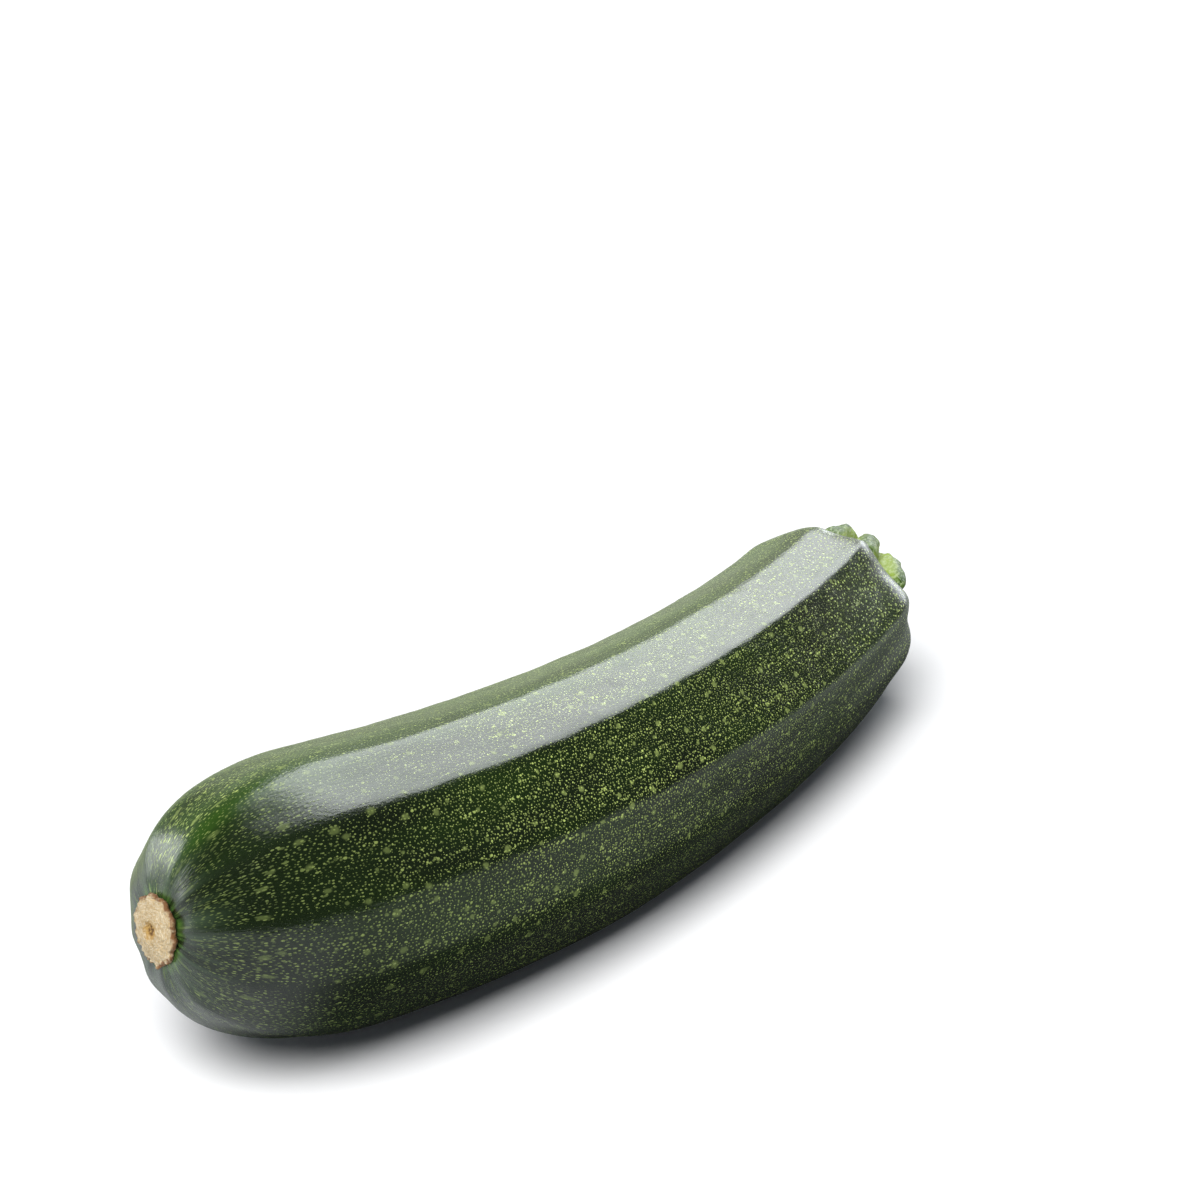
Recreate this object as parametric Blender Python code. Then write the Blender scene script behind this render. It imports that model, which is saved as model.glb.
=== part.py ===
"""A fresh courgette, picked with a short stub of its stalk, lying on its side on a flat surface.

Metres, +Z up. The fruit runs along X, from the blossom end at -X to the stalk at +X, and bends
towards +Y. The origin is under the middle of its bounding box, on the surface that it lies on.
"""

import math

import bmesh
import bpy
import numpy as np
from mathutils import Vector

# Fruit: lengths along its curved middle line, radii out to its ridges
FRUIT_LENGTH = 0.189
FRUIT_RADIUS = 0.0250
NECK_RADIUS = 0.0200
THICKEST_AT = 0.20
TAPER_POWER = 1.6
BEND = math.radians(31)
BEND_SKEW = -0.12
NOSE_TURN = math.radians(6.4)
NOSE_REACH = 0.10
NECK_TURN_UP = math.radians(9.5)
NECK_REACH = 0.07
BLOSSOM_END_LIFT = 0.0070
STALK_END_LIFT = 0.0026
FLAT_DEPTH = 0.0008

# Rounded ends of the fruit, each down to the small flat seat that carries a scar or a stalk
BLOSSOM_ROUND_LENGTH = 0.0330
BLOSSOM_ROUND_POWER = 2.15
BLOSSOM_SEAT_RADIUS = 0.0058
SHOULDER_ROUND_LENGTH = 0.0145
SHOULDER_ROUND_POWER = 3.3
SHOULDER_SEAT_RADIUS = 0.0090

# Ridges: where each runs round the fruit, counted from +Y over the top to -Y and on underneath
RIDGES_AT_BLOSSOM = (3, 45, 89, 121, 155, 188, 221, 253, 289, 325)
RIDGES_AT_STALK = (3, 43, 86, 121, 167, 198, 228, 257, 290, 325)
RIDGE_DRIFT_FROM = 0.20
RIDGE_TWIST = math.radians(-10.5)
RIDGE_SOFTNESS = 70.0
FURROW_AT_BLOSSOM = 0.026
FURROW_AT_STALK = 0.042
FURROW_REACH_BLOSSOM = 0.17
FURROW_REACH_STALK = 0.13
COLUMNS_PER_RIDGE = 7
FRUIT_RINGS = 47
RING_CROWDING = 0.65

# Stalk stub: strong and weak ridges in turn, flaring into lobes that grip the shoulder
LOBE_STRENGTH = (1.0, 0.72, 0.94, 0.78, 1.14, 0.70, 1.02, 0.74, 1.05, 0.70)
STALK_HEIGHT = 0.0110
STALK_NECK_CORE = 0.0072
STALK_BASE_CORE = 0.0098
STALK_LOBE_AT_NECK = 0.0029
STALK_LOBE_AT_BASE = 0.0050
LOBE_FULLNESS = 0.45
STALK_FLARE_HEIGHT = 0.0084
STALK_FLARE_POWER = 3.0
LOBE_ROUND_HEIGHT = 0.0026
LOBE_ROUND_INSET = 0.0018
CUT_TILT = math.radians(7)
CUT_DISH = 0.0006
STALK_COLUMNS_PER_RIDGE = 8
STALK_RINGS = 10
STALK_RING_CROWDING = 1.3
STALK_UNDERSIDE_RINGS = (0.45, 0.80)
STALK_CUT_RINGS = (0.72, 0.38)

# Blossom scar: a low corky dome with a ragged rim and a pit where the flower's style stood
SCAR_RADIUS = 0.0058
SCAR_RIM_HEIGHT = 0.0007
SCAR_DOME = 0.0011
SCAR_PIT_RADIUS = 0.0013
SCAR_PIT_DEPTH = 0.0007
SCAR_EDGE_WAVES = ((10, 0.035, 1.6), (3, 0.020, 1.0), (23, 0.015, 0.4))
SCAR_DOME_RINGS = (0.96, 0.85, 0.66, 0.46, 0.28)
SCAR_COLUMNS = 60

CLEARANCE = 0.0003
RIDGE_COUNT = len(RIDGES_AT_STALK)


def clear_scene():
    for obj in list(bpy.data.objects):
        bpy.data.objects.remove(obj, do_unlink=True)


def paint(name, colour, roughness):
    material = bpy.data.materials.new(name)
    material.use_nodes = True
    shader = material.node_tree.nodes["Principled BSDF"]
    shader.inputs["Base Color"].default_value = (*colour, 1.0)
    shader.inputs["Roughness"].default_value = roughness
    shader.inputs["Metallic"].default_value = 0.0
    return material


def body_radius(share):
    """Radius of the fruit without its rounded ends, at a share of its length."""
    past = np.clip((share - THICKEST_AT) / (1.0 - THICKEST_AT), 0.0, 1.0)
    return FRUIT_RADIUS - (FRUIT_RADIUS - NECK_RADIUS) * past**TAPER_POWER


def round_off(distance, length, power):
    """0 at the seat of an end, 1 where its rounding is over."""
    left = 1.0 - np.clip(distance / length, 0.0, 1.0)
    return (1.0 - left**power) ** (1.0 / power)


def fruit_radius(share):
    """Radius of the fruit out to its ridges, rounded ends included."""
    at_blossom = round_off(share * FRUIT_LENGTH, BLOSSOM_ROUND_LENGTH, BLOSSOM_ROUND_POWER)
    at_stalk = round_off((1.0 - share) * FRUIT_LENGTH, SHOULDER_ROUND_LENGTH, SHOULDER_ROUND_POWER)
    radius = BLOSSOM_SEAT_RADIUS + (body_radius(share) - BLOSSOM_SEAT_RADIUS) * at_blossom
    return SHOULDER_SEAT_RADIUS + (radius - SHOULDER_SEAT_RADIUS) * at_stalk


def middle_line(shares):
    """Points and directions of the middle line, which bends sideways and lifts a little at both ends."""
    off_middle = shares - 0.5
    heading = BEND * off_middle + BEND_SKEW * (off_middle**2 - 1.0 / 12.0)
    heading += NOSE_TURN * np.exp(-((shares / NOSE_REACH) ** 2))
    height = (
        body_radius(shares)
        + 4.0 * STALK_END_LIFT * np.maximum(0.0, off_middle) ** 2
        + 4.0 * BLOSSOM_END_LIFT * np.maximum(0.0, -off_middle) ** 2
        + FRUIT_LENGTH * NECK_REACH * math.tan(NECK_TURN_UP) * np.exp((shares - 1.0) / NECK_REACH)
    )
    climb = np.gradient(height, shares * FRUIT_LENGTH)
    level = 1.0 / np.sqrt(1.0 + climb**2)
    along = np.stack([level * np.cos(heading), level * np.sin(heading), level * climb], 1)
    steps = 0.5 * (along[1:] + along[:-1]) * (FRUIT_LENGTH * np.diff(shares))[:, None]
    points = np.vstack([np.zeros(3), np.cumsum(steps, 0)])
    points[:, 2] += height[0]
    return points, along


def cross_axes(along):
    """The two directions across the middle line: towards +Y, and up."""
    across = np.cross([0.0, 0.0, 1.0], along)
    across /= np.linalg.norm(across)
    return across, np.cross(along, across)


def ridge_angles(counts, share):
    """Angle round the fruit at a count of ridges, where whole numbers are the ridges themselves."""
    drifted = np.clip((share - RIDGE_DRIFT_FROM) / (1.0 - RIDGE_DRIFT_FROM), 0.0, 1.0)
    drifted = drifted**2 * (3.0 - 2.0 * drifted)
    ridges = (1.0 - drifted) * np.array(RIDGES_AT_BLOSSOM) + drifted * np.array(RIDGES_AT_STALK)
    closed = np.radians([*ridges, ridges[0] + 360.0])
    return np.interp(counts, np.arange(RIDGE_COUNT + 1), closed) + RIDGE_TWIST * (share - 0.5)


def facet_section(angles, share):
    """Radius of a soft polygon with a corner at each ridge, 1 at a sharp corner."""
    corners = ridge_angles(np.arange(RIDGE_COUNT + 1), share)
    middles = 0.5 * (corners[1:] + corners[:-1])
    flats = np.cos(0.5 * (corners[1:] - corners[:-1]))
    facing = np.maximum(0.0, np.cos(angles[:, None] - middles[None, :])) / flats[None, :]
    return (facing**RIDGE_SOFTNESS).sum(1) ** (-1.0 / RIDGE_SOFTNESS)


def furrow_depth(share):
    """How deep the furrows between the ridges are at each end, as a share of the radius."""
    at_blossom = FURROW_AT_BLOSSOM * math.exp(-((share / FURROW_REACH_BLOSSOM) ** 2))
    at_stalk = FURROW_AT_STALK * math.exp(-(((1.0 - share) / FURROW_REACH_STALK) ** 2))
    return at_blossom + at_stalk


def fruit_ring(counts, share, point, along):
    angles = ridge_angles(counts, share)
    between = 0.5 - 0.5 * np.cos(2.0 * math.pi * counts)
    radius = fruit_radius(share) * facet_section(angles, share) * (1.0 - furrow_depth(share) * between)
    across, up = cross_axes(along)
    return point + radius[:, None] * (np.cos(angles)[:, None] * across + np.sin(angles)[:, None] * up)


def closed_body(name, rings, first_pole, last_pole, material):
    """One closed mesh from rings of points between two poles."""
    shape = bmesh.new()
    loops = [[shape.verts.new(point) for point in ring] for ring in rings]
    start = shape.verts.new(first_pole)
    end = shape.verts.new(last_pole)
    size = len(loops[0])
    for k in range(size):
        after = (k + 1) % size
        shape.faces.new((start, loops[0][after], loops[0][k]))
        shape.faces.new((end, loops[-1][k], loops[-1][after]))
        for low, high in zip(loops, loops[1:]):
            shape.faces.new((low[k], low[after], high[after], high[k]))
    bmesh.ops.recalc_face_normals(shape, faces=shape.faces)
    mesh = bpy.data.meshes.new(name)
    shape.to_mesh(mesh)
    shape.free()
    mesh.shade_smooth()
    mesh.materials.append(material)
    obj = bpy.data.objects.new(name, mesh)
    bpy.context.scene.collection.objects.link(obj)
    return obj


def make_fruit(shares, points, along):
    counts = np.arange(RIDGE_COUNT * COLUMNS_PER_RIDGE) / COLUMNS_PER_RIDGE
    rings = [fruit_ring(counts, *row) for row in zip(shares, points, along)]
    skin = paint("skin", (0.035, 0.085, 0.022), 0.35)
    return closed_body("fruit", rings, points[0], points[-1], skin)


def shoulder_drop(radius):
    """How far the shoulder has fallen behind the stalk's seat at a distance from the axis."""
    rise = np.clip((radius - SHOULDER_SEAT_RADIUS) / (NECK_RADIUS - SHOULDER_SEAT_RADIUS), 0.0, 1.0)
    left = (1.0 - rise**SHOULDER_ROUND_POWER) ** (1.0 / SHOULDER_ROUND_POWER)
    return SHOULDER_ROUND_LENGTH * (1.0 - left)


def stalk_radius(counts, height):
    """Distance from the stalk's axis to its side: a ridged core, widening into lobes at its foot."""
    flare = math.exp(-((height / STALK_FLARE_HEIGHT) ** STALK_FLARE_POWER))
    core = STALK_NECK_CORE + (STALK_BASE_CORE - STALK_NECK_CORE) * flare
    lobe = STALK_LOBE_AT_NECK + (STALK_LOBE_AT_BASE - STALK_LOBE_AT_NECK) * flare
    strength = np.interp(counts, np.arange(RIDGE_COUNT + 1), [*LOBE_STRENGTH, LOBE_STRENGTH[0]])
    return core + lobe * strength * (0.5 + 0.5 * np.cos(2.0 * math.pi * counts)) ** LOBE_FULLNESS


def make_stalk(seat, along):
    counts = np.arange(RIDGE_COUNT * STALK_COLUMNS_PER_RIDGE) / STALK_COLUMNS_PER_RIDGE
    angles = ridge_angles(counts, 1.0)
    across, up = cross_axes(along)
    outward = np.cos(angles)[:, None] * across + np.sin(angles)[:, None] * up

    def ring(radius, height):
        return seat + radius[:, None] * outward + np.broadcast_to(height, radius.shape)[:, None] * along

    foot = stalk_radius(counts, 0.0) - LOBE_ROUND_INSET
    under = [ring(foot * part, CLEARANCE - shoulder_drop(foot * part)) for part in STALK_UNDERSIDE_RINGS]
    rim = CLEARANCE - shoulder_drop(foot)
    cut_radius = stalk_radius(counts, STALK_HEIGHT)
    cut_slope = math.tan(CUT_TILT) * cut_radius * np.sin(angles)
    side = []
    for step in range(STALK_RINGS + 1):
        part = (step / STALK_RINGS) ** STALK_RING_CROWDING
        risen = part * STALK_HEIGHT
        tuck = LOBE_ROUND_INSET * max(0.0, 1.0 - risen / LOBE_ROUND_HEIGHT) ** 2
        side.append(ring(stalk_radius(counts, risen) - tuck, rim + (STALK_HEIGHT + cut_slope - rim) * part))
    cut = [
        ring(cut_radius * part, STALK_HEIGHT + cut_slope * part - CUT_DISH * (1.0 - part))
        for part in STALK_CUT_RINGS
    ]
    green = paint("stalk", (0.16, 0.30, 0.05), 0.5)
    bottom = seat + CLEARANCE * along
    top_middle = seat + (STALK_HEIGHT - CUT_DISH) * along
    return closed_body("stalk", [*under, *side, *cut], bottom, top_middle, green)


def make_scar(seat, along):
    """The scar looks out of the blossom end, against the direction of the middle line."""
    angles = 2.0 * math.pi * np.arange(SCAR_COLUMNS) / SCAR_COLUMNS
    across, up = cross_axes(along)
    outward = np.cos(angles)[:, None] * across + np.sin(angles)[:, None] * up
    ragged = 1.0 + sum(depth * np.sin(waves * angles + phase) for waves, depth, phase in SCAR_EDGE_WAVES)

    def ring(part, height):
        return seat + (SCAR_RADIUS * part * ragged)[:, None] * outward - height * along

    def dome(part):
        return CLEARANCE + SCAR_RIM_HEIGHT + SCAR_DOME * (1.0 - part**2)

    pit = SCAR_PIT_RADIUS / SCAR_RADIUS
    rings = [ring(0.5, CLEARANCE), ring(0.98, CLEARANCE), ring(1.0, CLEARANCE + 0.5 * SCAR_RIM_HEIGHT)]
    rings += [ring(part, dome(part)) for part in SCAR_DOME_RINGS]
    rings.append(ring(pit, dome(pit) - 0.5 * SCAR_PIT_DEPTH))
    cork = paint("scar", (0.55, 0.40, 0.22), 0.8)
    bottom = seat - CLEARANCE * along
    pit_floor = seat - (dome(pit) - SCAR_PIT_DEPTH) * along
    return closed_body("blossom_scar", rings, bottom, pit_floor, cork)


def settle(pieces):
    """Sets the pieces down: the fruit's belly is pressed flat where it rests, over the origin's level."""
    fruit = pieces[0]
    low = min(vertex.co.z for vertex in fruit.data.vertices) + FLAT_DEPTH
    corners = np.array([vertex.co for piece in pieces for vertex in piece.data.vertices])
    middle = 0.5 * (corners.min(0) + corners.max(0))
    shift = Vector((-middle[0], -middle[1], -low))
    for piece in pieces:
        for vertex in piece.data.vertices:
            vertex.co += shift
            vertex.co.z = max(0.0, vertex.co.z)


def main():
    clear_scene()
    even = np.linspace(0.0, 1.0, FRUIT_RINGS)
    crowded = 0.5 - 0.5 * np.cos(math.pi * even)
    shares = (1.0 - RING_CROWDING) * even + RING_CROWDING * crowded
    points, along = middle_line(shares)
    fruit = make_fruit(shares, points, along)
    stalk = make_stalk(points[-1], along[-1])
    scar = make_scar(points[0], along[0])
    settle([fruit, stalk, scar])


main()
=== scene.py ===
import math

import bpy
import numpy as np
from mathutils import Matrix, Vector


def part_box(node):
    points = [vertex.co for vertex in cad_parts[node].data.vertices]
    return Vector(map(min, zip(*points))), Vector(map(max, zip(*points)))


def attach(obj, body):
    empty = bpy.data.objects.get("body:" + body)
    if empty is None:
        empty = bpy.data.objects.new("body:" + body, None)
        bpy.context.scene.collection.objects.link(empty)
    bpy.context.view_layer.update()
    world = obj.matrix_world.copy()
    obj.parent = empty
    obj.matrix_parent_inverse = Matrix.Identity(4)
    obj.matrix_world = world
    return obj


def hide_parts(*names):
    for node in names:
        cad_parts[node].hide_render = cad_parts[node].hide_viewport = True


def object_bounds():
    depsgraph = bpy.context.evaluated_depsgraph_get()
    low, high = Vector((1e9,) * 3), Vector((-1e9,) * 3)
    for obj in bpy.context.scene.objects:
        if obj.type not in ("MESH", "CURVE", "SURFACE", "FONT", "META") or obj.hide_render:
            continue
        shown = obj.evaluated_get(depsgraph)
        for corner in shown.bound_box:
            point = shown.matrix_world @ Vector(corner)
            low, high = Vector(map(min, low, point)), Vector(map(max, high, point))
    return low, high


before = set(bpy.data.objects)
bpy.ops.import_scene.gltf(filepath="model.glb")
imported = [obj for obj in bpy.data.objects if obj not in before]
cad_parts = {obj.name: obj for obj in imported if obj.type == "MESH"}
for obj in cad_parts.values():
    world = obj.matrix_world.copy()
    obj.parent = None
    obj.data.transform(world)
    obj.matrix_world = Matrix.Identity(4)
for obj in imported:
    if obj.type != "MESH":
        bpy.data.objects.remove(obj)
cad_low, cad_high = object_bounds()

MM = 0.001
scene = bpy.context.scene

# Camera
# Half a metre away, looking down at the courgette from its blossom end. Its place and its
# field of view were fitted to the fruit's outline, three of its ridges and the scar.
CAMERA_AIM = Vector((0.01275, 0.01042, 0.04763))
CAMERA_DISTANCE = 0.4805
CAMERA_TURN = math.radians(-50.17)
CAMERA_RAISE = math.radians(24.03)
CAMERA_FIELD = math.radians(26)

camera_data = bpy.data.cameras.new("camera")
camera_data.sensor_fit = "HORIZONTAL"
camera_data.angle = CAMERA_FIELD
camera_data.clip_start = 0.01
camera = bpy.data.objects.new("camera", camera_data)
camera.rotation_euler = (math.radians(90) - CAMERA_RAISE, 0.0, CAMERA_TURN)
towards_camera = Vector((
    math.sin(CAMERA_TURN) * math.cos(CAMERA_RAISE),
    -math.cos(CAMERA_TURN) * math.cos(CAMERA_RAISE),
    math.sin(CAMERA_RAISE),
))
camera.location = CAMERA_AIM + CAMERA_DISTANCE * towards_camera
scene.collection.objects.link(camera)
scene.camera = camera


# Fruit: its shape
# One grown body of firm white flesh under a thin, hard, waxy skin. It has ten soft ridges, bends
# sideways, and rounds off to a small seat at each end, where the stalk and the scar sit.
# The sizes and formulas are those of the solid that it replaces.
FRUIT_LENGTH = 0.189
FRUIT_RADIUS = 0.0250
NECK_RADIUS = 0.0200
THICKEST_AT = 0.20
TAPER_POWER = 1.6
BEND = math.radians(31)
BEND_SKEW = -0.12
NOSE_TURN = math.radians(6.4)
NOSE_REACH = 0.10
NECK_TURN_UP = math.radians(9.5)
NECK_REACH = 0.07
BLOSSOM_END_LIFT = 0.0070
STALK_END_LIFT = 0.0026
BLOSSOM_ROUND_LENGTH = 0.0330
BLOSSOM_ROUND_POWER = 2.15
BLOSSOM_SEAT_RADIUS = 0.0058
SHOULDER_ROUND_LENGTH = 0.0145
SHOULDER_ROUND_POWER = 3.3
SHOULDER_SEAT_RADIUS = 0.0090
RIDGES_AT_BLOSSOM = (3, 45, 89, 121, 155, 188, 221, 253, 289, 325)
RIDGES_AT_STALK = (3, 43, 86, 121, 167, 198, 228, 257, 290, 325)
RIDGE_COUNT = len(RIDGES_AT_STALK)
RIDGE_DRIFT_FROM = 0.20
RIDGE_TWIST = math.radians(-10.5)
SOLID_CRISPNESS = 70.0
RIDGE_CRISPNESS = (24, 18, 20, 110, 60, 26, 40, 50, 40, 28)
NOSE_CRISPNESS = 20.0
NOSE_SOFT_TO = 0.06
NOSE_CRISP_FROM = 0.30
FURROW_SHARES_BLOSSOM = (0.3, 0.0, 0.2, 0.3, 0.3, 0.3, 0.6, 0.6, 0.6, 0.5)
FURROW_SHARES_STALK = (0.3, 0.0, 0.4, 0.8, 1.0, 1.0, 1.0, 1.0, 1.0, 0.6)
FURROW_AT_BLOSSOM = 0.026
FURROW_AT_STALK = 0.042
FURROW_REACH_BLOSSOM = 0.17
FURROW_REACH_STALK = 0.13
FRUIT_RINGS = 350
FRUIT_COLUMNS_PER_RIDGE = 26


def body_radius(share):
    """Radius of the fruit without its rounded ends, at a share of its length."""
    past = np.clip((share - THICKEST_AT) / (1.0 - THICKEST_AT), 0.0, 1.0)
    return FRUIT_RADIUS - (FRUIT_RADIUS - NECK_RADIUS) * past**TAPER_POWER


def round_off(distance, length, power):
    """0 at the seat of an end, 1 where its rounding is over."""
    left = 1.0 - np.clip(distance / length, 0.0, 1.0)
    return (1.0 - left**power) ** (1.0 / power)


def fruit_radius(share):
    """Radius of the fruit out to its ridges, rounded ends included."""
    at_blossom = round_off(share * FRUIT_LENGTH, BLOSSOM_ROUND_LENGTH, BLOSSOM_ROUND_POWER)
    at_stalk = round_off((1.0 - share) * FRUIT_LENGTH, SHOULDER_ROUND_LENGTH, SHOULDER_ROUND_POWER)
    radius = BLOSSOM_SEAT_RADIUS + (body_radius(share) - BLOSSOM_SEAT_RADIUS) * at_blossom
    return SHOULDER_SEAT_RADIUS + (radius - SHOULDER_SEAT_RADIUS) * at_stalk


def middle_line(shares):
    """Points and directions of the middle line, which bends sideways and lifts at both ends."""
    off_middle = shares - 0.5
    heading = BEND * off_middle + BEND_SKEW * (off_middle**2 - 1.0 / 12.0)
    heading += NOSE_TURN * np.exp(-((shares / NOSE_REACH) ** 2))
    height = (
        body_radius(shares)
        + 4.0 * STALK_END_LIFT * np.maximum(0.0, off_middle) ** 2
        + 4.0 * BLOSSOM_END_LIFT * np.maximum(0.0, -off_middle) ** 2
        + FRUIT_LENGTH * NECK_REACH * math.tan(NECK_TURN_UP) * np.exp((shares - 1.0) / NECK_REACH)
    )
    climb = np.gradient(height, shares * FRUIT_LENGTH)
    level = 1.0 / np.sqrt(1.0 + climb**2)
    along = np.stack([level * np.cos(heading), level * np.sin(heading), level * climb], 1)
    steps = 0.5 * (along[1:] + along[:-1]) * (FRUIT_LENGTH * np.diff(shares))[:, None]
    points = np.vstack([np.zeros(3), np.cumsum(steps, 0)])
    points[:, 2] += height[0]
    return points, along


def cross_axes(along):
    """The two directions across the middle line: towards +Y, and up."""
    across = np.cross([0.0, 0.0, 1.0], along)
    across /= np.linalg.norm(across)
    return across, np.cross(along, across)


def ridge_angles(counts, share):
    """Angle round the fruit at a count of ridges, where whole numbers are the ridges themselves."""
    drifted = np.clip((share - RIDGE_DRIFT_FROM) / (1.0 - RIDGE_DRIFT_FROM), 0.0, 1.0)
    drifted = drifted**2 * (3.0 - 2.0 * drifted)
    ridges = (1.0 - drifted) * np.array(RIDGES_AT_BLOSSOM) + drifted * np.array(RIDGES_AT_STALK)
    closed = np.radians([*ridges, ridges[0] + 360.0])
    return np.interp(counts, np.arange(RIDGE_COUNT + 1), closed) + RIDGE_TWIST * (share - 0.5)


def facet_section(angles, share, crispness):
    """Radius of a soft polygon with a corner at each ridge, 1 at a sharp corner."""
    corners = ridge_angles(np.arange(RIDGE_COUNT + 1), share)
    middles = 0.5 * (corners[1:] + corners[:-1])
    flats = np.cos(0.5 * (corners[1:] - corners[:-1]))
    facing = np.maximum(0.0, np.cos(angles[:, None] - middles[None, :])) / flats[None, :]
    return (facing ** crispness[:, None]).sum(1) ** (-1.0 / crispness)


def furrow_depth(share, blossom_shares, stalk_shares):
    """How deep the furrows between the ridges are, as shares of the radius."""
    at_blossom = FURROW_AT_BLOSSOM * math.exp(-((share / FURROW_REACH_BLOSSOM) ** 2))
    at_stalk = FURROW_AT_STALK * math.exp(-(((1.0 - share) / FURROW_REACH_STALK) ** 2))
    return at_blossom * blossom_shares + at_stalk * stalk_shares


def fruit_ring(counts, crispness, furrows, share, point, along):
    """One ring of the skin across the middle line, with its facets and furrows."""
    angles = ridge_angles(counts, share)
    between = 0.5 - 0.5 * np.cos(2.0 * math.pi * counts)
    section = facet_section(angles, share, crispness)
    radius = fruit_radius(share) * section * (1.0 - furrow_depth(share, *furrows) * between)
    across, up = cross_axes(along)
    outward = np.cos(angles)[:, None] * across + np.sin(angles)[:, None] * up
    return point + radius[:, None] * outward


def even_shares(rings):
    """Shares of the length that lie evenly spaced over the skin, and their distances along it."""
    run = np.linspace(0.0, 1.0, 9001)
    fine = run**4 / (run**4 + (1.0 - run) ** 4)
    over_skin = np.hypot(np.diff(fine) * FRUIT_LENGTH, np.diff(fruit_radius(fine)))
    distance = np.concatenate([[0.0], np.cumsum(over_skin)])
    wanted = np.linspace(0.0, distance[-1], rings)
    return np.interp(wanted, distance, fine), wanted


def unevenness(places, wavelength, seed, waves=40):
    """Smooth random heights of about 1 over places in space, the same each run."""
    draw = np.random.default_rng(seed)
    courses = draw.normal(size=(3, waves))
    courses /= np.linalg.norm(courses, axis=0)
    courses *= 2.0 * math.pi / wavelength * draw.uniform(0.7, 1.4, waves)
    phases = draw.uniform(0.0, 2.0 * math.pi, waves)
    return np.cos(places @ courses + phases).sum(-1) / math.sqrt(0.5 * waves)


def outward_normals(grid):
    """Directions square to a closed sleeve of rings, pointing out of it."""
    round_it = np.roll(grid, -1, axis=1) - np.roll(grid, 1, axis=1)
    along_it = np.gradient(grid, axis=0)
    normals = np.cross(round_it, along_it)
    return normals / np.maximum(np.linalg.norm(normals, axis=2, keepdims=True), 1e-12)


def closed_body(name, grid, first_pole, last_pole):
    """One closed smooth mesh from rings of points between two poles."""
    rings, columns = grid.shape[:2]
    points = np.vstack([grid.reshape(-1, 3), [first_pole, last_pole]])
    first, last = rings * columns, rings * columns + 1
    faces = []
    for k in range(columns):
        after = (k + 1) % columns
        faces.append((first, after, k))
        faces.append((last, (rings - 1) * columns + k, (rings - 1) * columns + after))
    for low in range(0, (rings - 1) * columns, columns):
        for k in range(columns):
            after = (k + 1) % columns
            faces.append((low + k, low + after, low + columns + after, low + columns + k))
    mesh = bpy.data.meshes.new(name)
    mesh.from_pydata(points.tolist(), [], faces)
    mesh.shade_smooth()
    obj = bpy.data.objects.new(name, mesh)
    scene.collection.objects.link(obj)
    return obj


def mark(obj, name, values, first_value, last_value):
    """Writes a number or a place for each point of a closed body, for its material to read."""
    several = np.ndim(first_value) > 0
    kind, field = ("FLOAT_VECTOR", "vector") if several else ("FLOAT", "value")
    flat = values.reshape(-1, 3) if several else values.reshape(-1)
    whole = np.concatenate([flat, [first_value, last_value]])
    attribute = obj.data.attributes.new(name, kind, "POINT")
    attribute.data.foreach_set(field, whole.astype(np.float32).ravel())


shares, over_skin = even_shares(FRUIT_RINGS)
points, along = middle_line(shares)
counts = np.arange(RIDGE_COUNT * FRUIT_COLUMNS_PER_RIDGE) / FRUIT_COLUMNS_PER_RIDGE
alike = np.full(len(counts), SOLID_CRISPNESS)
full = np.ones(len(counts))
solid_grid = np.stack([
    fruit_ring(counts, alike, (full, full), *row) for row in zip(shares, points, along)
])
crispness = np.interp(counts, np.arange(RIDGE_COUNT + 1), [*RIDGE_CRISPNESS, RIDGE_CRISPNESS[0]])
sector = np.floor(counts).astype(int)
furrows = (np.array(FURROW_SHARES_BLOSSOM)[sector], np.array(FURROW_SHARES_STALK)[sector])
ripened = np.clip((shares - NOSE_SOFT_TO) / (NOSE_CRISP_FROM - NOSE_SOFT_TO), 0.0, 1.0)
ripened = ripened**2 * (3.0 - 2.0 * ripened)
fruit_grid = np.stack([
    fruit_ring(counts, NOSE_CRISPNESS + (crispness - NOSE_CRISPNESS) * part, furrows, *row)
    for part, row in zip(ripened, zip(shares, points, along))
])
fruit_angles = np.stack([ridge_angles(counts, share) for share in shares])

# Distances over the skin in millimetres, from the scar's seat and from the stalk's seat
from_blossom = over_skin / MM
from_stalk = from_blossom[-1] - from_blossom
ring_radius = fruit_radius(shares) / MM
round_places = np.stack([np.cos(fruit_angles), np.sin(fruit_angles)], 2)
true_places = np.concatenate([
    np.broadcast_to(from_blossom[:, None, None], (FRUIT_RINGS, len(counts), 1)),
    ring_radius[:, None, None] * round_places,
], 2)

# Relief of the skin in millimetres: broad swellings, lumps, fine ripples, and folds at both ends
SWELLING = 0.10
LUMPS = 0.030
RIPPLES = 0.009
BLOSSOM_CRESTS = 0.12
BLOSSOM_CREST_WIDTH = 1.3
BLOSSOM_CREST_REACH = 13.0
BLOSSOM_FOLDS = 0.06
BLOSSOM_FOLD_REACH = 9.0
STALK_FOLDS = 0.10
STALK_FOLD_REACH = 6.0
relief = SWELLING * unevenness(true_places * (0.4, 1.0, 1.0), wavelength=26.0, seed=11)
relief += LUMPS * unevenness(true_places * (0.6, 1.0, 1.0), wavelength=7.0, seed=12)
relief += RIPPLES * unevenness(true_places * (0.5, 1.0, 1.0), wavelength=2.4, seed=13)
ridge_spacing = 2.0 * math.pi * ring_radius / RIDGE_COUNT
off_ridge = np.abs(counts - np.round(counts))[None, :] * ridge_spacing[:, None]
crest_shape = np.exp(-((off_ridge / BLOSSOM_CREST_WIDTH) ** 2))
relief += BLOSSOM_CRESTS * crest_shape * np.exp(-((from_blossom / BLOSSOM_CREST_REACH) ** 2))[:, None]
fold_places = np.concatenate([true_places[:, :, :1] / 30.0, round_places], 2)
folds = unevenness(fold_places, wavelength=0.55, seed=14)
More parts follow.
